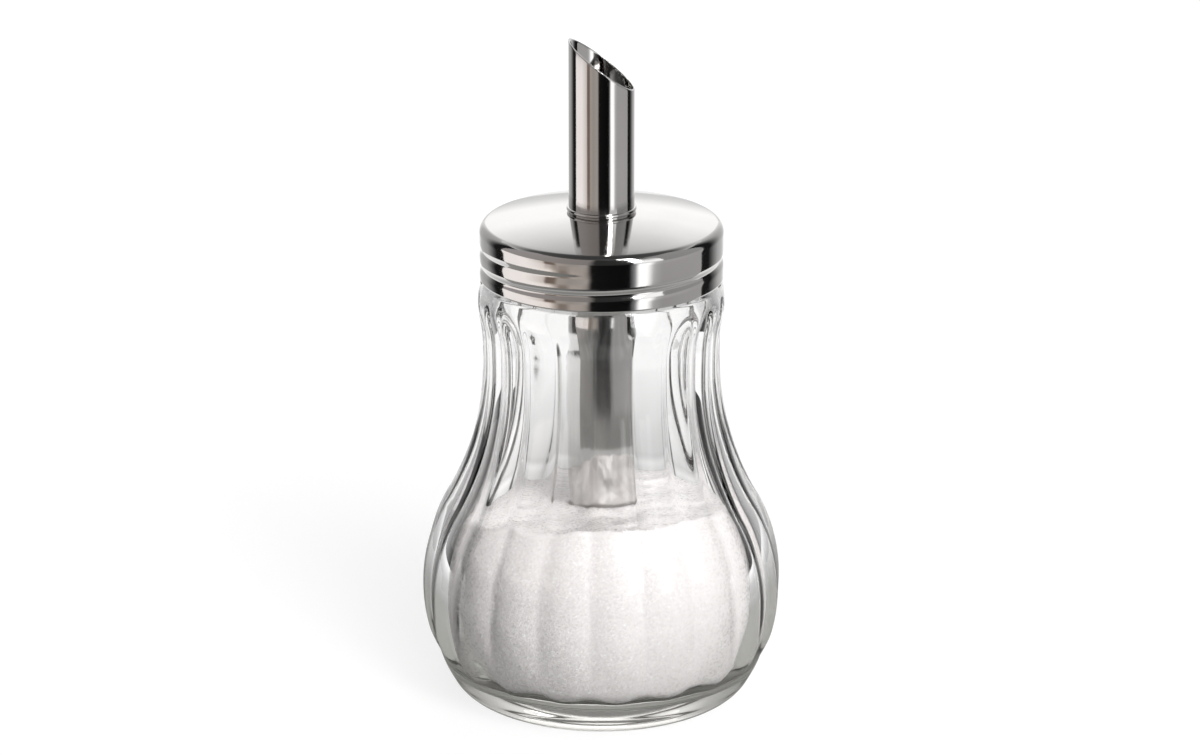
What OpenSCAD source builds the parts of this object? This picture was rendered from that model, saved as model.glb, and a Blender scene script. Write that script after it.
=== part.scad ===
// Sugar dispenser: a fluted glass jar with a screwed steel lid and a pour tube
// that holds a gravity flap. Origin at the centre of the foot, on the table.
// The mouth of the tube faces +X, and -Y is the front.

/* [Jar] */
// Radius of the belly at its widest
belly_r = 40.2; // [38:0.1:46]
// Height of the widest point above the table
belly_z = 25; // [23:0.5:28]
// Radius of the waist
waist_r = 26.3; // [25:0.1:28]
// Height at which the waist becomes upright
waist_z = 78; // [74:0.5:84]
// Radius of the bulge below the lid
collar_r = 27.4; // [26.5:0.1:28.5]
// Height of the bulge
collar_z = 91.3; // [90:0.1:93]
// Radius of the curve of the bulge, seen from the side
collar_curve_r = 8; // [6:0.5:10]
// Rounding between the foot and the belly
foot_round_r = 9; // [6:0.5:12]
// Thickness of the glass wall
glass_wall = 3; // [2:0.1:4]
// Thickness of the glass under the sugar
base_t = 7; // [4:0.5:10]
// Rounding inside, between the floor and the wall
floor_round_r = 8; // [4:0.5:12]
// Radius of the hollow under the foot
punt_r = 22; // [15:0.5:25]
// Depth of the hollow under the foot
punt_depth = 1.5; // [0.5:0.1:3]

/* [Flutes] */
// Number of flutes around the jar
flute_count = 20; // [12:1:24]
// Azimuth of the first valley, from +X
flute_phase = -3.6; // [-9:0.1:9]
// Width of the valley between two flutes
flute_valley_w = 1.2; // [0.6:0.1:2]
// Depth of the valley between two flutes
flute_valley_depth = 0.7; // [0.3:0.1:1.2]
// Height at which the valleys start
flute_low_z = 10; // [6:0.5:16]
// Height at which the valleys end
flute_high_z = 86; // [70:0.5:90]

/* [Neck and thread] */
// Outer radius of the neck
neck_r = 25.2; // [25:0.1:25.5]
// Height of the rim above the lid's lower edge
rim_h = 10.6; // [10.2:0.1:10.8]
// Rounding of the rim
rim_round_r = 0.8; // [0.3:0.1:1.2]
// Pitch of the thread
thread_pitch = 4; // [3.6:0.1:5]
// Radius of the glass thread's round section
thread_bead_r = 0.8; // [0.5:0.05:0.8]
// How far the glass thread stands out of the neck
thread_out = 0.9; // [0.6:0.05:0.95]
// Azimuth at which the threads start, from +X
thread_start = 45; // [0:5:90]
// Angle over which the glass thread runs
thread_sweep = 450; // [180:10:480]
// Free way between the flanks of the two threads, along the radius of their sections
thread_gap = 0.12; // [0.05:0.01:0.2]

/* [Lid] */
// Outer radius of the skirt
lid_r = 26.85; // [26.6:0.05:28]
// Height of the skirt's lower edge above the table
lid_low_z = 96.8; // [96.8:0.1:97.2]
// Thickness of the steel
lid_wall = 0.4; // [0.3:0.05:0.5]
// Rounding between the skirt and the top
shoulder_r = 2.2; // [2:0.1:5]
// Height of the middle of the top, above the lower edge
lid_h = 15; // [14.8:0.1:18]
// Radius of the curve of the domed top
dome_r = 119; // [80:1:200]
// Radius of the rolled groove's round section
groove_r = 1; // [0.7:0.05:1.05]
// Depth of the rolled groove
groove_depth = 0.8; // [0.5:0.05:0.85]
// Height of the groove's start above the skirt's lower edge
groove_start_h = 1; // [0.9:0.1:1.6]
// Angle over which the groove runs
groove_sweep = 585; // [360:15:600]

/* [Seal] */
// Width of the sealing ring
seal_w = 3.6; // [2.5:0.1:5]
// Free way between the seal and the rim, and between the seal and the steel
seal_gap = 0.1; // [0.05:0.01:0.3]

/* [Pour tube] */
// Outer radius of the tube
tube_r = 7.25; // [6.5:0.05:9]
// Thickness of the tube's wall
tube_wall = 0.4; // [0.3:0.05:0.6]
// Height of the tube's lower end above the table
tube_low_z = 24; // [18:1:60]
// Height of the mouth's middle above the top of the lid
mouth_h = 32.75; // [26:0.25:45]
// Slope of the mouth, from level
mouth_slope = 37.4; // [20:0.1:45]
// Radius of the bead's round section
bead_r = 0.45; // [0.3:0.05:0.7]
// Radius of the collar that clamps the lid from below
clamp_r = 11; // [9.5:0.1:14]
// Height of the clamping collar
clamp_h = 5; // [3:0.1:8]
// Thickness of the clamping collar's flange
clamp_t = 0.8; // [0.5:0.1:1.5]
// Free way between pressed pieces
press_gap = 0.02; // [0.01:0.01:0.04]

/* [Flap] */
// Vertical distance from the mouth down to the flap's seat
flap_drop = 11; // [9:0.25:14]
// Width of the ledge that the seat makes inside the tube
seat_ledge = 1.85; // [1.7:0.05:2.5]
// Height of the seat's sleeve at its lowest side
seat_h = 6; // [3:0.5:12]
// Free way between the flap and the tube, seen from above
flap_side_gap = 1.05; // [1:0.05:1.25]
// Thickness of the flap
flap_t = 0.5; // [0.3:0.05:0.6]
// Free way between the closed flap and its seat
flap_gap = 0.12; // [0.05:0.01:0.2]
// Distance of the hinge from the inside of the tube
hinge_in = 2.65; // [2.55:0.05:2.85]
// Radius of the hinge pin
pin_r = 0.4; // [0.3:0.05:0.45]
// Running clearance of the flap on its pin, on the radius
pin_clearance = 0.05; // [0.02:0.01:0.08]
// Radius of the flap's knuckle
knuckle_r = 0.9; // [0.8:0.05:0.95]
// How far the knuckle's lowest line lies above the flap's underside
knuckle_lift = 0.08; // [0.05:0.01:0.12]
// How much narrower the flap's tongue is than its knuckle, on each side
tongue_in = 0.3; // [0.1:0.05:0.6]
// Distance of an ear's inner face from the end of the pin's chord across the sleeve
ear_in = 2.1; // [2:0.05:2.6]
// Thickness of an ear of the hinge
ear_t = 1; // [0.8:0.1:1.1]
// Sideways clearance of the knuckle between the ears
ear_gap = 0.2; // [0.1:0.05:0.3]

/* [Sugar] */
// Height of the sugar at the tube, above the glass floor
sugar_h = 36.5; // [20:0.5:45]
// Slope of the sugar's surface, rising to -Y
sugar_slope = 7; // [0:1:12]
// Free way around the sugar
sugar_gap = 0.3; // [0.2:0.05:0.5]

/* [Hidden] */
$fn = 96;

far = 200;
eps = 0.01;

// How far two curves of an outline reach into each other where they meet
join_step = 0.06;

// Jar. The waist's hollow curve meets the round belly, which gives its radius.
rim_z = lid_low_z + rim_h;
waist_dz = waist_z - belly_z;
waist_meet_r = belly_r - join_step;
waist_curve_r = round(1000*(pow(waist_r, 2) + pow(waist_dz, 2) - pow(waist_meet_r, 2))
    / (2*(waist_meet_r - waist_r)))/1000;
waist_cx = waist_r + waist_curve_r;
neck_in_r = neck_r - glass_wall;

// Lid
lid_top_z = lid_low_z + lid_h;
dome_cz = lid_top_z - dome_r;
shoulder_cx = lid_r - shoulder_r;
shoulder_cz = dome_cz + sqrt(pow(dome_r - shoulder_r, 2) - pow(shoulder_cx, 2));

// Threads. The ridge inside the lid lies under the glass thread.
groove_cr = lid_r - groove_depth + groove_r;
ridge_r = groove_r + lid_wall;
bead_cr = neck_r + thread_out - thread_bead_r;
ridge_z = lid_low_z + groove_start_h;
flank = ridge_r + thread_bead_r + thread_gap;
thread_z = ridge_z + sqrt(pow(flank, 2) - pow(groove_cr - bead_cr, 2));

// Tube and flap
bore_r = tube_r - tube_wall;
mouth_z = lid_top_z + mouth_h;
seat_z = mouth_z - flap_drop;
seat_low_z = seat_z - bore_r*tan(mouth_slope) - seat_h;
sleeve_r = bore_r - press_gap;
seat_bore_r = bore_r - seat_ledge;
flap_r = bore_r - flap_side_gap;
hinge_x = bore_r - hinge_in;
hinge_lift = flap_gap + knuckle_lift + knuckle_r;
hinge_along = hinge_x/cos(mouth_slope) - hinge_lift*tan(mouth_slope);
hinge_z = seat_z - hinge_along*sin(mouth_slope) + hinge_lift*cos(mouth_slope);
ear_in_y = sqrt(pow(sleeve_r, 2) - pow(hinge_x, 2)) - ear_in;
knuckle_l = 2*(ear_in_y - ear_gap);
ear_out_y = ear_in_y + ear_t;

// Sugar
sugar_z = base_t + sugar_h;

// Points of a circle that stands on the ring of a helix, at azimuth a and height z
function helix_ring(a, z, path_r, section_r, sides) = [
    for (j = [0:sides - 1])
        let (b = 360*j/sides, r = path_r + section_r*cos(b))
        [r*cos(a), r*sin(a), z + section_r*sin(b)]
];

// A round cord wound as a right-hand helix of thread_pitch
module helix(path_r, section_r, z, start, sweep, sides = 10, step = 15) {
    steps = ceil(sweep/step);
    points = [
        for (i = [0:steps])
            let (turn = sweep*i/steps)
            each helix_ring(start + turn, z + thread_pitch*turn/360,
                path_r, section_r, sides)
    ];
    faces = concat(
        [[for (j = [sides - 1:-1:0]) j]],
        [
            for (i = [0:steps - 1], j = [0:sides - 1])
                let (k = (j + 1) % sides, a = i*sides, b = (i + 1)*sides)
                each [[a + j, b + k, b + j], [a + j, a + k, b + k]]
        ],
        [[for (j = [0:sides - 1]) steps*sides + j]]
    );
    polyhedron(points, faces, convexity = 8);
}

// Half outline of the belly and the waist, shrunk by inset, on a flat floor
module belly_2d(inset, round_r, floor_z) {
    r = belly_r - inset;
    drop = belly_z - floor_z - round_r;
    cx = sqrt(pow(r + join_step - round_r, 2) - pow(drop, 2));
    join_z = belly_z - r*drop/(r - round_r);
    touch_z = belly_z + r*waist_dz/(belly_r + waist_curve_r);
    intersection() {
        translate([0, belly_z]) circle(r);
        union() {
            translate([0, join_z]) square([far, far]);
            translate([0, floor_z]) square([cx, far]);
            translate([cx, floor_z + round_r]) circle(round_r);
        }
        translate([0, floor_z]) square([far, far]);
    }
    difference() {
        translate([0, touch_z]) square([waist_cx, waist_z - touch_z]);
        translate([waist_cx, waist_z]) circle(waist_curve_r + inset);
    }
}

// Half outline of the glass with no hollow and no thread, shrunk by inset
module jar_outer_2d(inset = 0) {
    belly_2d(inset, foot_round_r, 0);
    translate([0, waist_z]) square([waist_r - inset, collar_z - waist_z]);
    intersection() {
        translate([collar_r - collar_curve_r, collar_z]) circle(collar_curve_r - inset);
        translate([0, waist_z]) square([far, lid_low_z - waist_z]);
    }
    translate([0, collar_z]) square([neck_r - inset, rim_z - rim_round_r - collar_z]);
}

// Half outline of the space inside the jar, shrunk by inset
module jar_inner_2d(inset = 0) {
    belly_2d(glass_wall + inset, floor_round_r, base_t + inset);
    translate([0, waist_z])
        polygon([[0, 0], [waist_r - glass_wall - inset, 0],
            [neck_in_r - inset, collar_z - waist_z], [0, collar_z - waist_z]]);
    translate([0, collar_z]) square([neck_in_r - inset, far]);
}

// Rounded lip at the top of the neck
module rim_2d() {
    lip = rim_round_r;
    translate([neck_in_r, rim_z - 2*lip]) square([glass_wall, lip]);
    translate([neck_in_r + lip, rim_z - 2*lip]) square([glass_wall - 2*lip, 2*lip]);
    translate([neck_in_r + lip, rim_z - lip]) circle(lip);
    translate([neck_r - lip, rim_z - lip]) circle(lip);
}

// Slot that cuts one valley between two flutes
module flute_valley(azimuth) {
    rotate([0, 0, azimuth])
    rotate([90, 0, 0])
    linear_extrude(flute_valley_w, center = true)
    difference() {
        translate([waist_r/2, flute_low_z]) square([belly_r, flute_high_z - flute_low_z]);
        jar_outer_2d(flute_valley_depth);
    }
}

module jar_body() {
    difference() {
        rotate_extrude() {
            difference() {
                jar_outer_2d();
                jar_inner_2d();
                polygon([[0, 0], [punt_r, 0], [punt_r - 2*punt_depth, punt_depth],
                    [0, punt_depth]]);
            }
            rim_2d();
        }
        for (i = [0:flute_count - 1])
            flute_valley(flute_phase + 360*i/flute_count);
    }
}

module jar() {
    color([0.86, 0.9, 0.88, 0.5]) {
        jar_body();
        difference() {
            helix(bead_cr, thread_bead_r, thread_z, thread_start, thread_sweep);
            cylinder(r = neck_r - glass_wall/2, h = far);
        }
    }
}

// Half outline of the lid's outside, shrunk by inset
module lid_2d(inset = 0) {
    translate([0, lid_low_z - eps])
        square([lid_r - inset, shoulder_cz - lid_low_z + eps]);
    translate([0, shoulder_cz - eps]) square([shoulder_cx, eps]);
    intersection() {
        translate([shoulder_cx, shoulder_cz]) circle(shoulder_r - inset);
        translate([shoulder_cx - eps, shoulder_cz - eps]) square(far);
    }
    intersection() {
        translate([0, dome_cz]) circle(dome_r - inset, $fn = 360);
        translate([0, shoulder_cz - eps]) square([shoulder_cx, far]);
    }
}

module lid() {
    color([0.78, 0.78, 0.8])
    difference() {
        union() {
            rotate_extrude() difference() {
                intersection() {
                    lid_2d();
                    translate([0, lid_low_z]) square(far);
                }
                lid_2d(lid_wall);
            }
            intersection() {
                helix(groove_cr, ridge_r, ridge_z, thread_start, groove_sweep);
                translate([0, 0, lid_low_z]) cylinder(r = lid_r - lid_wall/2, h = lid_h);
            }
        }
        helix(groove_cr, groove_r, ridge_z, thread_start, groove_sweep);
        translate([0, 0, lid_low_z]) cylinder(r = tube_r + press_gap, h = far);
    }
}

module lid_seal() {
    color([0.93, 0.93, 0.9])
    rotate_extrude() intersection() {
        lid_2d(lid_wall + seal_gap);
        translate([neck_r - seal_w, rim_z + seal_gap]) square([seal_w, far]);
    }
}

// Everything above the slanted plane that lies drop below the mouth
module above_mouth(drop = 0) {
    translate([0, 0, mouth_z - drop])
    rotate([0, mouth_slope, 0])
    translate([-far/2, -far/2, 0]) cube(far);
}

module pour_tube() {
    color([0.72, 0.72, 0.74])
    difference() {
        union() {
            cylinder(r = tube_r, h = mouth_z + far/8);
            translate([0, 0, lid_top_z + bead_r])
                rotate_extrude() translate([tube_r, 0]) circle(bead_r, $fn = 32);
        }
        translate([0, 0, -far/2]) cylinder(r = bore_r, h = 2*far);
        above_mouth();
        translate([0, 0, tube_low_z - far/2]) cube(far, center = true);
    }
}

module tube_clamp() {
    color([0.6, 0.6, 0.62])
    difference() {
        rotate_extrude() intersection() {
            lid_2d(lid_wall + press_gap);
            union() {
                translate([tube_r, lid_top_z - clamp_h])
                    square([(clamp_r - tube_r)/3, far]);
                translate([tube_r, lid_top_z - lid_wall - clamp_t - 1])
                    square([clamp_r - tube_r, far]);
            }
        }
        cylinder(r = tube_r + press_gap, h = far);
    }
}

// Frame of the slanted seat: its top is level here, and +X runs down the slope
module on_seat() {
    translate([0, 0, seat_z]) rotate([0, mouth_slope, 0]) children();
}

module hinge_ear(side) {
    translate([hinge_along - 1.2*knuckle_r, side*(ear_in_y + ear_t/2) - ear_t/2, -knuckle_r])
        cube([2.4*knuckle_r, ear_t, knuckle_r + hinge_lift + knuckle_r]);
}

module flap_seat() {
    color([0.66, 0.66, 0.68])
    difference() {
        union() {
            difference() {
                translate([0, 0, seat_low_z]) cylinder(r = sleeve_r, h = far/4);
                above_mouth(flap_drop);
            }
            intersection() {
                translate([0, 0, seat_low_z]) cylinder(r = sleeve_r, h = far/4);
                on_seat() for (side = [-1, 1]) hinge_ear(side);
            }
        }
        cylinder(r = seat_bore_r, h = seat_z);
        difference() {
            cylinder(r = seat_bore_r, h = 2*far);
            on_seat() for (side = [-1, 1]) hinge_ear(side);
        }
        translate([hinge_x, 0, hinge_z]) rotate([90, 0, 0])
            cylinder(r = pin_r + press_gap, h = 4*tube_r, center = true);
    }
}

module flap() {
    color([0.8, 0.8, 0.82])
    difference() {
        union() {
            intersection() {
                cylinder(r = flap_r, h = far);
                on_seat() difference() {
                    translate([-far/2, -far/2, flap_gap])
                        cube([far/2 + hinge_along, far, flap_t]);
                    for (side = [-1, 1])
                        translate([hinge_along - 1.2*knuckle_r - ear_gap,
                            side*(far/2 + knuckle_l/2 - tongue_in) - far/2, 0])
                            cube([far, far, far/4]);
                }
            }
            translate([hinge_x, 0, hinge_z]) rotate([90, 0, 0])
                cylinder(r = knuckle_r, h = knuckle_l, center = true);
        }
        translate([hinge_x, 0, hinge_z]) rotate([90, 0, 0])
            cylinder(r = pin_r + pin_clearance, h = 4*tube_r, center = true);
    }
}

module flap_pin() {
    color([0.55, 0.55, 0.57])
    translate([hinge_x, 0, hinge_z]) rotate([90, 0, 0])
        cylinder(r = pin_r, h = 2*ear_out_y, center = true);
}

module sugar() {
    color([0.96, 0.96, 0.95])
    difference() {
        intersection() {
            rotate_extrude() jar_inner_2d(sugar_gap);
            translate([0, 0, sugar_z]) rotate([-sugar_slope, 0, 0])
                translate([-far/2, -far/2, -far]) cube(far);
        }
        translate([0, 0, tube_low_z - sugar_gap]) cylinder(r = tube_r + sugar_gap, h = far);
    }
}

jar();
sugar();
lid();
lid_seal();
pour_tube();
tube_clamp();
flap_seat();
flap();
flap_pin();
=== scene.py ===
import bpy, math
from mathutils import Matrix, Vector, noise


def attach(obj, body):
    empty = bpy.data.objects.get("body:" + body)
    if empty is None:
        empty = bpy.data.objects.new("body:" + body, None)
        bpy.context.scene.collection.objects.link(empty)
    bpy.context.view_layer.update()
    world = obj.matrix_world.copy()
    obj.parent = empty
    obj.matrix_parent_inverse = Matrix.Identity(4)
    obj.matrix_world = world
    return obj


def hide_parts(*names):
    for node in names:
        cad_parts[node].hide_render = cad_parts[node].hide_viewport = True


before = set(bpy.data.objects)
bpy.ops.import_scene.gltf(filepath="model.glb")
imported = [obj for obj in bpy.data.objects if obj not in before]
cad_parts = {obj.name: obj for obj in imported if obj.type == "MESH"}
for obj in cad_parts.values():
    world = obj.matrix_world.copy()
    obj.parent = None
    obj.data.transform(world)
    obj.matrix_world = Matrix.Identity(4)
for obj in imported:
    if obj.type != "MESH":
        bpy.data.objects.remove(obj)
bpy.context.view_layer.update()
scene = bpy.context.scene
mm = 0.001
fullTurn = 2*math.pi
print("frame loaded")


# Shader maths: a Wire is one output socket, and arithmetic on it adds Math nodes
class Wire:
    def __init__(self, shader, socket):
        self.shader, self.socket = shader, socket

    def pair(self, operation, first, second):
        return self.shader.add("ShaderNodeMath", {"operation": operation}, {0: first, 1: second})

    def __add__(self, other): return self.pair("ADD", self, other)
    def __radd__(self, other): return self.pair("ADD", other, self)
    def __sub__(self, other): return self.pair("SUBTRACT", self, other)
    def __rsub__(self, other): return self.pair("SUBTRACT", other, self)
    def __mul__(self, other): return self.pair("MULTIPLY", self, other)
    def __rmul__(self, other): return self.pair("MULTIPLY", other, self)
    def __truediv__(self, other): return self.pair("DIVIDE", self, other)
    def __rtruediv__(self, other): return self.pair("DIVIDE", other, self)
    def __pow__(self, other): return self.pair("POWER", self, other)
    def __rpow__(self, other): return self.pair("POWER", other, self)
    def atLeast(self, other): return self.pair("MAXIMUM", self, other)


class Shader:
    def __init__(self, owner):
        owner.use_nodes = True
        self.tree = owner.node_tree
        self.tree.nodes.clear()

    def add(self, kind, settings=None, inputs=None, output=0):
        node = self.tree.nodes.new(kind)
        for name, value in (settings or {}).items():
            if name == "stops":
                ramp = node.color_ramp
                while len(ramp.elements) < len(value):
                    ramp.elements.new(1)
                for stop, (place, colour) in zip(ramp.elements, value):
                    stop.position, stop.color = place, (*colour, 1)
            else:
                setattr(node, name, value)
        for name, value in (inputs or {}).items():
            if isinstance(value, Wire):
                self.tree.links.new(value.socket, node.inputs[name])
            else:
                node.inputs[name].default_value = value
        return Wire(self, node.outputs[output]) if node.outputs else None

    def spot(self, kind="Object"):
        return self.add("ShaderNodeTexCoord", output=kind)

    def axis(self, vector, name):
        return self.add("ShaderNodeSeparateXYZ", None, {0: vector}, name)

    def place(self, scale=(1, 1, 1)):
        return self.add("ShaderNodeMapping", None, {"Vector": self.spot(), "Scale": scale})

    def cloud(self, vector, scale, detail=2.0):
        return self.add("ShaderNodeTexNoise", None, {"Vector": vector, "Scale": scale, "Detail": detail})

    def spread(self, value, low, high, fromLow=0.3, fromHigh=0.7):
        return self.add("ShaderNodeMapRange", None, {
            "Value": value, "From Min": fromLow, "From Max": fromHigh, "To Min": low, "To Max": high})

    def tint(self, share, first, second):
        first, second = [colour if isinstance(colour, Wire) else (*colour, 1) for colour in (first, second)]
        return self.add("ShaderNodeMix", {"data_type": "RGBA"}, {0: share, 6: first, 7: second}, 2)

    def bump(self, height, distance):
        return self.add("ShaderNodeBump", None, {"Height": height, "Distance": distance, "Strength": 1.0})

    def path(self, kind):
        return self.add("ShaderNodeLightPath", output=kind)

    def skin(self, inputs):
        return self.add("ShaderNodeBsdfPrincipled", None, inputs)

    def end(self, surface, volume=None):
        inputs = {"Surface": surface, "Volume": volume} if volume else {"Surface": surface}
        self.add("ShaderNodeOutputMaterial", None, inputs)


def startMaterial(name):
    material = bpy.data.materials.new(name)
    return material, Shader(material)


# Meshes are rings of points joined by quads; a ring of one point closes an end
def ringMesh(name, rings, material, body, loop=False, sharpAngle=None):
    points, faces, starts = [], [], []
    for ring in rings:
        starts.append(len(points))
        points += [(x*mm, y*mm, z*mm) for x, y, z in ring]
    pairs = list(zip(range(len(rings) - 1), range(1, len(rings))))
    if loop:
        pairs.append((len(rings) - 1, 0))
    for lower, upper in pairs:
        a, b, na, nb = starts[lower], starts[upper], len(rings[lower]), len(rings[upper])
        count = max(na, nb)
        for i in range(count):
            j = (i + 1) % count
            if na == 1:
                faces.append((a, b + j, b + i))
            elif nb == 1:
                faces.append((a + i, a + j, b))
            else:
                faces.append((a + i, a + j, b + j, b + i))
    mesh = bpy.data.meshes.new(name)
    mesh.from_pydata(points, [], faces)
    mesh.update()
    mesh.shade_smooth()
    if sharpAngle:
        mesh.set_sharp_from_angle(angle=math.radians(sharpAngle))
    mesh.materials.append(material)
    piece = bpy.data.objects.new(name, mesh)
    scene.collection.objects.link(piece)
    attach(piece, body)
    return piece


def around(count):
    return [fullTurn*i/count for i in range(count)]


def ringPoint(azimuth, r, z):
    return r*math.cos(azimuth), r*math.sin(azimuth), z


def softer(value, width):  # value where it is positive, 0 elsewhere, with the corner rounded over width
    return 0.5*(value + math.sqrt(value*value + width*width))


def fade(value, low, high):  # 0 below low, 1 above high, smooth in between
    t = min(max((value - low)/(high - low), 0), 1)
    return t*t*(3 - 2*t)


# Glass jar, in mm and degrees; each At is the two heights that a change fades between
jarShape = {
    "bellyR": 40.2, "bellyZ": 25, "waistR": 26.3, "waistZ": 78, "waistCurve": 68.26,
    "collarR": 26.9, "collarZ": 91.3, "collarCurve": 8, "collarBlend": 1.6, "collarStart": 85,
    "footRound": 9, "footR": 24.5, "hollowR": 22, "hollowDepth": 1.5,
    "wall": 3, "floor": 7, "floorRound": 8,
    "collarThicker": 0.35, "thickerAt": (84, 93), "insideNeckAt": (91, 98),
    "neckR": 25.2, "neckZ": 96.8, "rimZ": 107.4, "rimRound": 0.8,
    "petals": 20, "firstValley": -3.6, "columns": 18, "petalDepth": 0.027, "valleyRound": 0.10,
    "lowEnd": 15.5, "lowCap": 6, "highEnd": 88, "highCap": 5.5,
    "endSoft": 0.05, "highSoft": 0.25, "softAt": (86, 93),
    "footShare": 0.45, "footAt": (1, 5), "bellyAt": (6, 15), "collarLoss": 0.8, "lossAt": (86, 95),
    "innerShare": 0.7, "innerLowAt": (9, 24), "innerHighAt": (88, 96),
    "threadZ": 99.32, "threadStart": 45, "threadSweep": 450, "pitch": 4,
    "threadOut": 0.9, "threadHalf": 0.85,
    "threadRunOut": 18, "rippleAround": 3, "rippleHeight": 14,
    "outerRipple": 0.06, "outerRippleAt": (8, 14), "outerSmoothAt": (86, 93),
    "innerRipple": 0.08, "innerRippleAt": (8, 20), "innerSmoothAt": (90, 97),
}


def bowlRadius(z, inset, bottomRound, bottomZ):
    g = jarShape
    belly, waistCurve = g["bellyR"] - inset, g["waistCurve"] + inset
    drop = g["bellyZ"] - bottomZ - bottomRound
    turnR = math.sqrt((belly - bottomRound)**2 - drop**2)
    if z < g["bellyZ"] - belly*drop/(belly - bottomRound):
        return turnR + math.sqrt(max(bottomRound**2 - (bottomZ + bottomRound - z)**2, 0))
    centreR = g["waistR"] + g["waistCurve"]
    if z < g["bellyZ"] + belly*(g["waistZ"] - g["bellyZ"])/(g["bellyR"] + g["waistCurve"]):
        return math.sqrt(belly**2 - (z - g["bellyZ"])**2)
    if z < g["waistZ"]:
        return centreR - math.sqrt(waistCurve**2 - (g["waistZ"] - z)**2)
    return g["waistR"] - inset


def outsideRadius(z):
    g = jarShape
    if z >= g["neckZ"]:
        return g["neckR"]
    bowl = bowlRadius(z, 0, g["footRound"], 0)
    if z < g["waistZ"]:
        return bowl
    reach = max(g["collarCurve"]**2 - (z - g["collarZ"])**2, 0)
    collar = g["collarR"] - g["collarCurve"] + math.sqrt(reach)
    return bowl + softer(collar - bowl, g["collarBlend"])*fade(z, g["waistZ"], g["collarStart"])


def insideRadius(z):
    g = jarShape
    if z < g["waistZ"]:
        return bowlRadius(z, g["wall"], g["floorRound"], g["floor"])
    thicker = g["collarThicker"]*fade(z, *g["thickerAt"])
    followed = outsideRadius(min(z, g["thickerAt"][1])) - g["wall"] - thicker
    return followed + (g["neckR"] - g["wall"] - followed)*fade(z, *g["insideNeckAt"])


def petalHeight(azimuth, z):  # 1 on the ridge of a petal, 0 in the valleys and on the plain glass
    g = jarShape
    across = 2*(((math.degrees(azimuth) - g["firstValley"])*g["petals"]/360) % 1) - 1
    w = g["valleyRound"]
    edge = (math.sqrt((1 - abs(across))**2 + w*w) - w)/(math.sqrt(1 + w*w) - w)
    low, high = max(g["lowEnd"] - z, 0)/g["lowCap"], max(z - g["highEnd"], 0)/g["highCap"]
    soft = g["endSoft"] + g["highSoft"]*fade(z, *g["softAt"])
    return softer(2*edge - edge*edge - low*low - high*high, soft)


def petalDepth(z):
    g = jarShape
    rise = g["footShare"]*fade(z, *g["footAt"]) + (1 - g["footShare"])*fade(z, *g["bellyAt"])
    radius = bowlRadius(max(z, g["bellyAt"][0]), 0, g["footRound"], 0)
    return g["petalDepth"]*radius*rise*(1 - g["collarLoss"]*fade(z, *g["lossAt"]))


def innerPetals(azimuth, z):
    g = jarShape
    share = g["innerShare"]*fade(z, *g["innerLowAt"])*(1 - fade(z, *g["innerHighAt"]))
    return share*petalDepth(z)*(1 - petalHeight(azimuth, z))


def threadHeight(azimuth, z):
    g = jarShape
    height = 0
    for turn in range(3):
        angle = math.degrees(azimuth) % 360 + 360*turn - g["threadStart"]
        if 0 <= angle <= g["threadSweep"]:
            off = (z - g["threadZ"] - g["pitch"]*angle/360)/g["threadHalf"]
            ends = fade(angle, 0, g["threadRunOut"])*fade(g["threadSweep"] - angle, 0, g["threadRunOut"])
            height = max(height, g["threadOut"]*ends*math.sqrt(max(1 - off*off, 0)))
    return height


def wavy(azimuth, z, size, seed):
    turn, height = jarShape["rippleAround"], jarShape["rippleHeight"]
    return size*noise.noise(Vector((turn*math.cos(azimuth), turn*math.sin(azimuth), z/height + seed)))


def steps(low, high, size):
    count = max(1, round((high - low)/size))
    return [low + (high - low)*i/count for i in range(count)]


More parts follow.
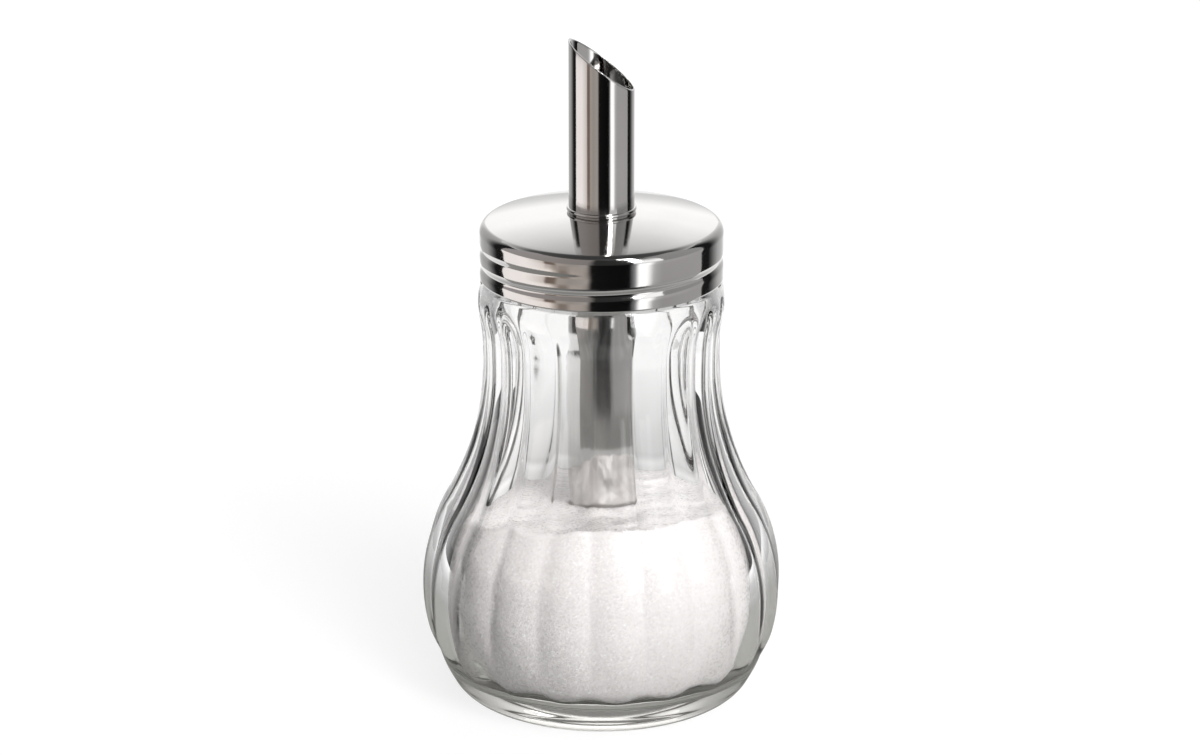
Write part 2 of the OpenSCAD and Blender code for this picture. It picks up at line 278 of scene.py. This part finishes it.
def jarRings():
    g = jarShape
    half = g["columns"]//2
    azimuths = []
    for petal in range(g["petals"]):
        for i in range(-half, half):
            across = math.sin(math.pi/2*i/half)
            azimuths.append(math.radians(g["firstValley"] + (petal + 0.5 + across/2)*360/g["petals"]))
    hollowR, depth = g["hollowR"], g["hollowDepth"]
    rings = [[(0, 0, depth)]]
    for r, z in ((10, depth), (hollowR - 3.4, depth), (hollowR - 2.8, depth - 0.1), (hollowR - 0.4, 0.14),
                 (hollowR, 0.02), (hollowR + 0.4, 0), (g["footR"], 0)):
        rings.append([ringPoint(a, r, z) for a in azimuths])
    heights = ([0, 0.02, 0.1, 0.25, 0.5, 0.8, 1.2, 1.7, 2.3] + steps(3, 18, 0.55) + steps(18, 80, 1.0)
               + steps(80, 93, 0.5) + steps(93, 96.8, 0.6) + steps(96.8, 106, 0.22) + [106, 106.6])
    for z in heights:
        ring = []
        for a in azimuths:
            r = outsideRadius(z) - petalDepth(z)*(1 - petalHeight(a, z))
            rippled = fade(z, *g["outerRippleAt"])*(1 - fade(z, *g["outerSmoothAt"]))
            r += wavy(a, z, g["outerRipple"], 0)*rippled
            if z > g["neckZ"]:
                r += threadHeight(a, z)
            ring.append(ringPoint(a, r, z))
        rings.append(ring)
    lip, neckIn = g["rimRound"], g["neckR"] - g["wall"]
    for i in range(1, 7):
        turn = math.pi/2*i/6
        r, z = g["neckR"] - lip + lip*math.cos(turn), g["rimZ"] - lip + lip*math.sin(turn)
        rings.append([ringPoint(a, r, z) for a in azimuths])
    for i in range(7):
        turn = math.pi/2*i/6
        r, z = neckIn + lip - lip*math.sin(turn), g["rimZ"] - lip + lip*math.cos(turn)
        rings.append([ringPoint(a, r, z) for a in azimuths])
    floorR = bowlRadius(g["floor"], g["wall"], g["floorRound"], g["floor"])
    for z in [106, 104, 100, 97] + steps(9.2, 95, 1.2)[::-1] + [8.8, 8.4, 8, 7.7, 7.45, 7.25, 7.1, 7.03]:
        smooth, rippled = insideRadius(z), fade(z, *g["innerRippleAt"]) - fade(z, *g["innerSmoothAt"])
        rings.append([ringPoint(a, smooth + wavy(a, z, g["innerRipple"], 9)*rippled - innerPetals(a, z), z)
                      for a in azimuths])
    for r in (floorR, floorR - 3, floorR/2):
        rings.append([ringPoint(a, r, g["floor"]) for a in azimuths])
    rings.append([(0, 0, g["floor"])])
    return rings


glassLook = {
    "bend": 1.5, "tint": (0.87, 0.85, 0.79), "density": 9.0, "lampShare": (0.96, 0.96, 0.955),
    "smudge": 0.03, "smudgeScale": 45, "smudgeAt": (0.45, 0.75), "groundFoot": 0.5, "groundAt": (0.8, 2.4),
    "ripple": 0.00004, "rippleScale": 120, "rippleStretch": (1, 1, 0.35),
}


def pressedGlass():
    material, s = startMaterial("pressedGlass")
    g = glassLook
    ripple = s.cloud(s.place(g["rippleStretch"]), g["rippleScale"], 1)
    smudge = s.spread(s.cloud(s.place(), g["smudgeScale"], 3), 0, g["smudge"], *g["smudgeAt"])
    low, high = g["groundAt"]
    smudge = smudge.atLeast(s.spread(s.axis(s.spot(), "Z"), g["groundFoot"], 0, low*mm, high*mm))
    glass = s.skin({"Base Color": (1, 1, 1, 1), "Roughness": smudge, "IOR": g["bend"],
                    "Transmission Weight": 1.0, "Normal": s.bump(ripple, g["ripple"])})
    clear = s.add("ShaderNodeBsdfTransparent", None, {"Color": (*g["lampShare"], 1)})
    lampRay = s.path("Is Shadow Ray").atLeast(s.path("Is Diffuse Ray"))
    surface = s.add("ShaderNodeMixShader", None, {0: lampRay, 1: glass, 2: clear})
    inside = s.add("ShaderNodeVolumeAbsorption", None, {"Color": (*g["tint"], 1), "Density": g["density"]})
    s.end(surface, inside)
    return material


glassJar = ringMesh("glassJar", jarRings(), pressedGlass(), "jar")
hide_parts("jar")
print("glass jar made")


# Sugar, in mm: the slopes are degrees, towards the camera's side and towards +X
sugarFill = {
    "gap": 0.18, "middle": 43.5, "slope": 7, "sideSlope": 3, "tubeR": 7.25, "tubeGap": 0.3, "tubeLow": 24,
    "bottomR": 14, "wallFrom": 8, "wallGap": 0.05, "edgeIn": 0.3,
    "heap": 1.2, "heapSize": 11, "heapSeed": 4.2, "smallHeap": 0.35, "smallScale": 3.1,
    "mound": 0.5, "moundWidth": 3.5, "grains": 0.12, "grainsAround": 30, "grainHeight": 1.2,
    "columns": 240, "wallRings": 30, "topRings": 26,
    "light": (0.925, 0.89, 0.893), "shade": (0.89, 0.855, 0.858), "patchScale": 60, "glint": 0.03,
    "grainSize": 0.32, "facet": 0.24, "rough": (0.15, 0.5), "roughScale": 1500, "bend": 1.54,
}


def sugarTop(x, y):
    g = sugarFill
    spot = Vector((x/g["heapSize"], y/g["heapSize"], g["heapSeed"]))
    near = math.exp(-((math.hypot(x, y) - g["tubeR"])/g["moundWidth"])**2)
    tilt = math.tan(math.radians(g["sideSlope"]))*x - math.tan(math.radians(g["slope"]))*y
    heap = noise.noise(spot) + g["smallHeap"]*noise.noise(spot*g["smallScale"])
    return g["middle"] + tilt + g["heap"]*heap + g["mound"]*near


def sugarRings():
    g, jar = sugarFill, jarShape
    azimuths = around(g["columns"])
    low = jar["floor"] + g["gap"]
    inset = jar["wall"] + g["gap"]

    def wall(a, z):
        return bowlRadius(z, inset, jar["floorRound"], low) - innerPetals(a, z)

    def grain(a, z):
        turn = g["grainsAround"]
        return g["grains"]*noise.noise(Vector((math.cos(a)*turn, math.sin(a)*turn, z/g["grainHeight"])))

    start, gap, edgeIn = g["wallFrom"], g["wallGap"], g["edgeIn"]
    rings = [[(0, 0, low)], [ringPoint(a, g["bottomR"], low) for a in azimuths]]
    for lift in (0, 0.05, 0.2, 0.5, 1, 1.7, 2.6, 3.8, 5, 6.5, start):
        z = low + lift
        rings.append([ringPoint(a, wall(a, z) - gap + grain(a, lift), z) for a in azimuths])
    edges = []
    for a in azimuths:  # the height where the top meets the wall, found in a few rounds
        z = g["middle"]
        for _ in range(6):
            z = sugarTop(wall(a, z)*math.cos(a), wall(a, z)*math.sin(a))
        edges.append(z)
    for i in range(1, g["wallRings"] + 1):
        ring = []
        for a, top in zip(azimuths, edges):
            z = low + start + (top - low - start)*i/g["wallRings"]
            ring.append(ringPoint(a, wall(a, z) - gap + grain(a, z), z))
        rings.append(ring)
    holeR, holeZ = g["tubeR"] + g["tubeGap"], g["tubeLow"] - g["tubeGap"]
    for i in range(1, g["topRings"] + 1):
        ring = []
        for a, top in zip(azimuths, edges):
            r = (wall(a, top) - edgeIn) + (holeR - wall(a, top) + edgeIn)*i/g["topRings"]
            x, y = r*math.cos(a), r*math.sin(a)
            ring.append((x, y, sugarTop(x, y)))
        rings.append(ring)
    rings.append([ringPoint(a, holeR, holeZ) for a in azimuths])
    rings.append([(0, 0, holeZ)])
    return rings


def sugarGrains():
    material, s = startMaterial("sugarGrains")
    g = sugarFill
    spot = s.place()
    cells = s.add("ShaderNodeTexVoronoi", None, {"Vector": spot, "Scale": 1/(g["grainSize"]*mm)}, "Color")
    # each grain turns its own way
    facet = s.add("ShaderNodeVectorMath", {"operation": "SUBTRACT"}, {0: cells, 1: (0.5, 0.5, 0.5)})
    facet = s.add("ShaderNodeVectorMath", {"operation": "SCALE"}, {0: facet, "Scale": g["facet"]})
    upright = s.add("ShaderNodeNewGeometry", output="Normal")
    facet = s.add("ShaderNodeVectorMath", {"operation": "ADD"}, {0: upright, 1: facet})
    facet = s.add("ShaderNodeVectorMath", {"operation": "NORMALIZE"}, {0: facet})
    patch = s.spread(s.cloud(spot, g["patchScale"], 3), 0, 1)
    glint = s.spread(s.axis(cells, "X"), 0, 1, 1 - g["glint"], 1 - g["glint"]/2)
    colour = s.tint(glint, s.tint(patch, g["shade"], g["light"]), (1, 1, 1))
    gloss = s.spread(s.cloud(spot, g["roughScale"], 1), *g["rough"])
    s.end(s.skin({"Base Color": colour, "Roughness": gloss, "IOR": g["bend"], "Normal": facet}))
    return material


sugarPiece = ringMesh("sugarFill", sugarRings(), sugarGrains(), "jar")
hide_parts("sugar")
print("sugar made")


steelLook = {
    "tone": (0.72, 0.71, 0.70), "dark": (0.67, 0.66, 0.65),
    "fineScale": 900, "fineShare": 0.6, "broadScale": 70,
    # stretch of the fine grain, least and greatest roughness, depth of the grain in m
    "lidSteel": ((1, 1, 1), 0.05, 0.10, 0.000001),
    "tubeSteel": ((1, 1, 0.06), 0.05, 0.11, 0.000003),
    "plainSteel": ((1, 1, 0.3), 0.22, 0.34, 0.000006),
}


def polishedSteel(name):
    material, s = startMaterial(name)
    g = steelLook
    stretch, low, high, grain = g[name]
    fine = s.cloud(s.place(stretch), g["fineScale"], 2)
    broad = s.cloud(s.place(), g["broadScale"], 3)
    colour = s.tint(s.spread(broad, 0, 1), g["dark"], g["tone"])
    gloss = s.spread(fine*g["fineShare"] + broad*(1 - g["fineShare"]), low, high)
    s.end(s.skin({"Base Color": colour, "Metallic": 1.0, "Roughness": gloss,
                  "Normal": s.bump(fine, grain)}))
    return material


lidSteel, tubeSteel, plainSteel = [polishedSteel(name) for name in ("lidSteel", "tubeSteel", "plainSteel")]

# Lid, in mm; the groove's angles are degrees from its start or its end
lidShape = {
    "radius": 26.85, "low": 96.8, "wall": 0.4, "edgeRound": 0.05, "edgeDrop": 0.08,
    "shoulder": 2.2, "shoulderR": 24.65, "shoulderZ": 106.97,
    "domeR": 119, "domeZ": -7.2, "holeR": 7.27,
    "grooveZ": 97.8, "grooveStart": 45, "grooveSweep": 585, "grooveDepth": 0.42, "grooveWidth": 0.85,
    "groovePitch": 4, "startAt": (-30, 20), "endAt": (-60, 15), "upperLoss": 0.45, "upperAt": (300, 400),
    "columns": 288, "domeRings": 26, "shoulderRings": 14, "skirtStep": 0.24,
}


def lidGroove(azimuth, z):
    g = lidShape
    depth = 0
    for turn in range(3):
        angle = math.degrees(azimuth) % 360 + 360*turn - g["grooveStart"]
        pastEnd = angle - g["grooveSweep"]
        if angle >= g["startAt"][0] and pastEnd <= g["endAt"][1]:
            off = z - g["grooveZ"] - g["groovePitch"]*angle/360
            ends = fade(angle, *g["startAt"])*(1 - fade(pastEnd, *g["endAt"]))
            ends *= 1 - g["upperLoss"]*fade(angle, *g["upperAt"])
            depth += ends*g["grooveDepth"]*math.exp(-(off/g["grooveWidth"])**2)
    return depth


def lidProfile():  # r, z, outward direction in r and z, and share of the groove, from the hole to the edge
    g = lidShape
    line = []
    for i in range(g["domeRings"]):
        r = g["holeR"] + (g["shoulderR"] - g["holeR"])*(i/g["domeRings"])
        top = math.sqrt(g["domeR"]**2 - r*r)
        line.append((r, g["domeZ"] + top, r/g["domeR"], top/g["domeR"], 0))
    first = math.atan2(g["shoulderZ"] - g["domeZ"], g["shoulderR"])
    count = g["shoulderRings"]
    for i in range(count + 1):
        turn = first*(1 - i/count)
        dr, dz = math.cos(turn), math.sin(turn)
        r, z = g["shoulderR"] + g["shoulder"]*dr, g["shoulderZ"] + g["shoulder"]*dz
        line.append((r, z, dr, dz, i//count))
    for z in steps(g["low"], g["shoulderZ"], g["skirtStep"])[::-1]:
        line.append((g["radius"], z, 1, 0, 1))
    return line


def lidRings():
    g = lidShape
    azimuths = around(g["columns"])
    line = lidProfile()

    def ring(entry, depth):
        r, z, dr, dz, share = entry
        return [ringPoint(a, r - depth*dr - share*lidGroove(a, z), z - depth*dz) for a in azimuths]

    rings = [ring(entry, 0) for entry in line]
    for depth in (g["edgeRound"], g["wall"] - g["edgeRound"]):
        rings.append([(x, y, z - g["edgeDrop"]) for x, y, z in ring(line[-1], depth)])
    rings += [ring(entry, g["wall"]) for entry in line[::-1]]
    return rings


screwLid = ringMesh("screwLid", lidRings(), lidSteel, "lid", loop=True, sharpAngle=50)
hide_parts("lid")
print("lid made")

# Pour tube, in mm; slope is the fall of the mouth per mm towards +X
tubeShape = {
    "outer": 7.25, "inner": 6.85, "low": 24, "lowEdge": 0.1, "levels": (60, 120),
    "mouthZ": 144.55, "slope": 0.7646, "lip": 0.12, "lipIn": 0.04, "lipDrop": 0.03, "belowLip": 0.4,
    "beadR": 0.45, "beadZ": 112.25, "beadSides": 16, "columns": 192,
}


def tubeRings():
    g = tubeShape
    azimuths = around(g["columns"])
    middle = (g["outer"] + g["inner"])/2

    def cut(r, down):
        return [ringPoint(a, r, g["mouthZ"] - g["slope"]*r*math.cos(a) - down) for a in azimuths]

    def level(r, z):
        return [ringPoint(a, r, z) for a in azimuths]

    outer, inner, low, edge, (lower, upper) = g["outer"], g["inner"], g["low"], g["lowEdge"], g["levels"]
    lip, lipIn, drop, below = g["lip"], g["lipIn"], g["lipDrop"], g["belowLip"]
    return [level(outer, low + edge), level(outer, lower), level(outer, upper),
            cut(outer, below), cut(outer, lip), cut(outer - lipIn, drop), cut(middle, 0),
            cut(inner + lipIn, drop), cut(inner, lip), cut(inner, below),
            level(inner, upper), level(inner, lower), level(inner, low + edge),
            level(inner + edge, low), level(outer - edge, low)]


def beadRings():
    g = tubeShape
    azimuths = around(g["columns"])
    rings = []
    for turn in around(g["beadSides"]):
        r, z = g["outer"] + g["beadR"]*math.cos(turn), g["beadZ"] + g["beadR"]*math.sin(turn)
        rings.append([ringPoint(a, r, z) for a in azimuths])
    return rings


pourTube = ringMesh("pourTube", tubeRings(), tubeSteel, "lid", loop=True, sharpAngle=60)
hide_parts("pour_tube")
tubeBead = ringMesh("tubeBead", beadRings(), tubeSteel, "lid", loop=True)
print("tube made")


sealLook = {
    "tones": ((0.86, 0.86, 0.83), (0.92, 0.92, 0.90)), "toneScale": 90,
    "rough": (0.4, 0.6), "roughScale": 400, "grain": 0.00001, "grainScale": 2500,
}


def softSeal():
    material, s = startMaterial("softSeal")
    g = sealLook
    spot = s.place()
    colour = s.tint(s.spread(s.cloud(spot, g["toneScale"], 3), 0, 1), *g["tones"])
    s.end(s.skin({"Base Color": colour, "Roughness": s.spread(s.cloud(spot, g["roughScale"]), *g["rough"]),
                  "Normal": s.bump(s.cloud(spot, g["grainScale"]), g["grain"])}))
    return material


# Finishes of the pieces that stay as the frame has them
finishes = {"lid_seal": softSeal(), "tube_clamp": plainSteel, "flap_seat": plainSteel,
            "flap": tubeSteel, "flap_pin": plainSteel}
for node, material in finishes.items():
    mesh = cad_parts[node].data
    mesh.materials.clear()
    mesh.materials.append(material)
print("finishes given")


# Studio: lengths in mm, angles in degrees; azimuth 0 is the camera's side, and + is towards +X
studio = {
    "floor": (0.22, 0.22, 0.22), "floorZ": -0.05, "floorHalf": 4000,
    # what the camera sees on the floor besides the lamps' light, near the jar and far from it
    "nearLift": 0.80, "farLift": 0.97, "liftAt": (60, 500),
    "sky": 0.12,  # brightness of the sky for all but the camera, mirrors and glass
    # brightness that mirrors and glass see on the table, by distance from the middle: a painted shadow,
    # darkest under and around the jar
    "table": [(0, (0.26, 0.26, 0.24)), (36, (0.27, 0.27, 0.25)), (90, (0.30, 0.30, 0.29)),
              (150, (0.60, 0.60, 0.60)), (230, (1.05, 1.05, 1.05))],
    "tableReach": 400, "glassLift": 0.5, "glassLiftAt": (70, 150),
    # and in the sky, from the horizon (0) up to straight above (1)
    "skyBands": [(0.0, 0.72), (0.08, 0.85), (0.20, 1.28), (0.36, 1.28), (0.48, 1.05), (0.60, 0.72),
                 (0.70, 0.45), (0.82, 0.10), (1.0, 0.05)],
    # curved screens that only mirrors and glass see: from azimuth, to azimuth, distance, bottom, top, and
    # one colour, or the name of a list of colours by azimuth; a second list is for what the lid mirrors
    "screens": {
        "frontFoot": (-97, 100, 150, 0.5, 16, (0.26, 0.26, 0.25)),
        "frontLow": (-97, 100, 150, 16, 50, "lowStripes"),
        "frontMiddle": (-97, 100, 150, 50, 110, "stripes", "lidStripes"),
        "frontHigh": (-97, 27, 150, 110, 330, "highStripes"),
        "rightHigh": (54, 100, 150, 110, 330, "highStripes"),
        "leftFlag": (-130, -97, 270, 0.5, 330, "flags"), "rightFlag": (100, 136, 270, 0.5, 330, "flags"),
        "leftBack": (-160, -130, 270, 0.5, 300, "backs"), "rightBack": (136, 160, 270, 0.5, 300, "backs")},
    "lidBlend": (61, 73), "screenSteps": 16,
    "stripes": [(-100, (1.15, 1.10, 1.08)), (-70, (1.15, 1.08, 1.05)), (-51, (0.80, 0.72, 0.68)),
                (-49, (0.20, 0.15, 0.13)), (-41, (0.22, 0.17, 0.14)), (-38, (0.48, 0.43, 0.39)),
                (-28, (0.40, 0.36, 0.33)), (-13, (0.46, 0.42, 0.39)), (-9, (0.008, 0.008, 0.008)),
                (24, (0.004, 0.004, 0.004)), (29, (0.30, 0.30, 0.31)), (32, (1.5, 1.5, 1.5)),
                (41, (1.5, 1.5, 1.5)), (47, (0.60, 0.60, 0.60)), (54, (0.46, 0.45, 0.45)),
                (100, (0.44, 0.43, 0.43))],
    "lidStripes": [(-100, (1.15, 1.10, 1.08)), (-60, (1.15, 1.08, 1.05)), (-46, (1.10, 1.00, 0.94)),
                   (-41, (0.62, 0.55, 0.50)), (-36, (0.28, 0.23, 0.20)), (-31, (0.30, 0.25, 0.22)),
                   (-26, (0.52, 0.46, 0.42)), (-17, (0.48, 0.43, 0.39)), (-13, (0.38, 0.34, 0.31)),
                   (-9, (0.008, 0.008, 0.008)), (24, (0.004, 0.004, 0.004)), (29, (0.30, 0.30, 0.31)),
                   (32, (1.5, 1.5, 1.5)), (39, (1.5, 1.5, 1.5)), (45, (0.50, 0.50, 0.50)),
                   (54, (0.38, 0.37, 0.37)), (100, (0.44, 0.43, 0.43))],
    "highStripes": [(-100, (0.40, 0.38, 0.38)), (-40, (0.32, 0.29, 0.28)), (-12, (0.28, 0.26, 0.25)),
                    (-6, (0.03, 0.03, 0.03)), (26, (0.03, 0.03, 0.03)), (50, (0.30, 0.30, 0.30)),
                    (100, (0.36, 0.36, 0.36))],
    "lowStripes": [(-100, (0.35, 0.34, 0.33)), (-30, (0.22, 0.22, 0.21)), (-12, (0.10, 0.10, 0.10)),
                   (0, (0.012, 0.012, 0.012)), (35, (0.03, 0.03, 0.03)), (45, (0.40, 0.40, 0.40)),
                   (100, (0.45, 0.44, 0.44))],
    "flags": [(-130, (0.42, 0.42, 0.42)), (-117, (0.10, 0.10, 0.10)), (-112, (0.012, 0.012, 0.012)),
              (-98, (0.012, 0.012, 0.012)), (100, (0.012, 0.012, 0.012)), (116, (0.012, 0.012, 0.012)),
              (122, (0.12, 0.12, 0.12)), (136, (0.48, 0.48, 0.48))],
    "backs": [(-160, (0.95, 0.95, 0.95)), (-150, (0.55, 0.55, 0.55)), (-130, (0.42, 0.42, 0.42)),
              (136, (0.48, 0.48, 0.48)), (150, (0.65, 0.65, 0.65)), (160, (0.95, 0.95, 0.95))],
    # lamps: azimuth, elevation, distance and size in m, watts, and whether mirrors and glass show them;
    # then the height in m that they point at
    "lamps": {"windowLamp": (33, 44, 0.8, (0.14, 0.62), 3.0, True),
              "fillLamp": (24, 35, 1.2, (0.9, 0.9), 13.6, False),
              "backLamp": (165, 45, 1.2, (0.9, 0.9), 4.5, False)},
    "lampAim": 0.07,
}


def seenByMirrors(s):
    return s.path("Is Glossy Ray").atLeast(s.path("Is Transmission Ray"))


def halved(stops):  # ramps end at 1, so their colours are halved, and the light is doubled again after them
    return [(where, [channel/2 for channel in shade]) for where, shade in stops]


def glow(s, place, stops, lift=1):
    shade = s.add("ShaderNodeValToRGB", {"stops": halved(stops)}, {"Fac": place})
    return s.add("ShaderNodeEmission", None, {"Color": shade, "Strength": 2.0*lift})


def objectPlace(s):
    return [s.axis(s.spot(), name) for name in ("X", "Y", "Z")]


def floorFinish():
    material, s = startMaterial("paleFloor")
    x, y, _ = objectPlace(s)
    reach = (x*x + y*y)**0.5
    stops = [(distance/studio["tableReach"], shade) for distance, shade in studio["table"]]
    near, far = studio["glassLiftAt"]
    glassLift = s.path("Is Transmission Ray")*s.spread(reach, studio["glassLift"], 0, near*mm, far*mm)
    # painted shadow: mirrors and glass see this ramp, darkest under and around the jar, instead of the lit
    # floor
    table = glow(s, reach/(studio["tableReach"]*mm), stops, 1 + glassLift)
    near, far = studio["liftAt"]
    lift = s.path("Is Camera Ray")*s.spread(reach, studio["nearLift"], studio["farLift"], near*mm, far*mm)
    paint = s.add("ShaderNodeBsdfDiffuse", None, {"Color": (*studio["floor"], 1)})
    lift = s.add("ShaderNodeEmission", None, {"Color": (1, 1, 1, 1), "Strength": lift})
    plain = s.add("ShaderNodeAddShader", None, {0: paint, 1: lift})
    s.end(s.add("ShaderNodeMixShader", None, {0: seenByMirrors(s), 1: plain, 2: table}))
    return material


def screenFinish(name, colours):
    material, s = startMaterial(name)
    x, y, z = objectPlace(s)
    bearing = x.pair("ARCTAN2", x, 0 - y)*(1/fullTurn) + 0.5
    glows = []
    for colour in colours:
        if isinstance(colour, str):
            stops = [((angle + 180)/360, shade) for angle, shade in studio[colour]]
        else:
            stops = [(0, colour), (1, colour)]
        glows.append(glow(s, bearing, stops))
    if len(glows) > 1:
        low, high = studio["lidBlend"]
        above = s.spread(z, 0, 1, low*mm, high*mm)
        glows = [s.add("ShaderNodeMixShader", None, {0: above, 1: glows[1], 2: glows[0]})]
    s.end(glows[0])
    return material


def addStage(name, points, faces, material):
    mesh = bpy.data.meshes.new(name)
    mesh.from_pydata([(x*mm, y*mm, z*mm) for x, y, z in points], [], faces)
    mesh.materials.append(material)
    piece = bpy.data.objects.new(name, mesh)
    scene.collection.objects.link(piece)
    return piece


half = studio["floorHalf"]
corners = [(-half, -half), (half, -half), (half, half), (-half, half)]
addStage("floor", [(x, y, studio["floorZ"]) for x, y in corners], [(0, 1, 2, 3)], floorFinish())

for name, (first, last, distance, low, top, *colours) in studio["screens"].items():
    points, count = [], studio["screenSteps"]
    for i in range(count + 1):
        azimuth = math.radians(first + (last - first)*i/count - 90)
        points += [ringPoint(azimuth, distance, low), ringPoint(azimuth, distance, top)]
    faces = [(2*i, 2*i + 2, 2*i + 3, 2*i + 1) for i in range(count)]
    screen = addStage(name, points, faces, screenFinish(name + "Paint", colours))
    screen.visible_camera = screen.visible_diffuse = screen.visible_shadow = False

world = bpy.data.worlds.new("studioSky")
scene.world = world
sky = Shader(world)
bands = halved([(place, (value, value, value)) for place, value in studio["skyBands"]])
mirrored = 2*sky.add("ShaderNodeValToRGB", {"stops": bands}, {"Fac": sky.axis(sky.spot("Generated"), "Z")})
plain = sky.path("Is Camera Ray")*(1 - studio["sky"]) + studio["sky"]
glossy = seenByMirrors(sky)
light = glossy*mirrored + (1 - glossy)*plain
light = sky.add("ShaderNodeBackground", None, {"Color": (1, 1, 1, 1), "Strength": light})
sky.add("ShaderNodeOutputWorld", None, {"Surface": light})

for name, (azimuth, elevation, distance, size, power, shown) in studio["lamps"].items():
    lamp = bpy.data.lights.new(name, "AREA")
    lamp.shape, lamp.size, lamp.size_y, lamp.energy = "RECTANGLE", *size, power
    holder = bpy.data.objects.new(name, lamp)
    scene.collection.objects.link(holder)
    a, e = math.radians(azimuth - 90), math.radians(elevation)
    towards = Vector((math.cos(a)*math.cos(e), math.sin(a)*math.cos(e), math.sin(e)))
    holder.location = Vector((0, 0, studio["lampAim"])) + distance*towards
    holder.rotation_euler = towards.to_track_quat("Z", "Y").to_euler()
    holder.visible_glossy = shown

cameraPlace = {"aim": (-0.33, 0, 72.88), "distance": 950, "elevation": 19.0, "lens": 128.5, "sensor": 36}
camera = bpy.data.objects.new("camera", bpy.data.cameras.new("camera"))
scene.collection.objects.link(camera)
scene.camera = camera
camera.data.lens, camera.data.sensor_width = cameraPlace["lens"], cameraPlace["sensor"]
camera.data.clip_start = 10*mm
lift = math.radians(cameraPlace["elevation"])
away = Vector((0, -math.cos(lift), math.sin(lift)))
camera.location = Vector(cameraPlace["aim"])*mm + cameraPlace["distance"]*mm*away
camera.rotation_euler = away.to_track_quat("Z", "Y").to_euler()
scene.view_settings.view_transform = "Standard"
print("studio made")
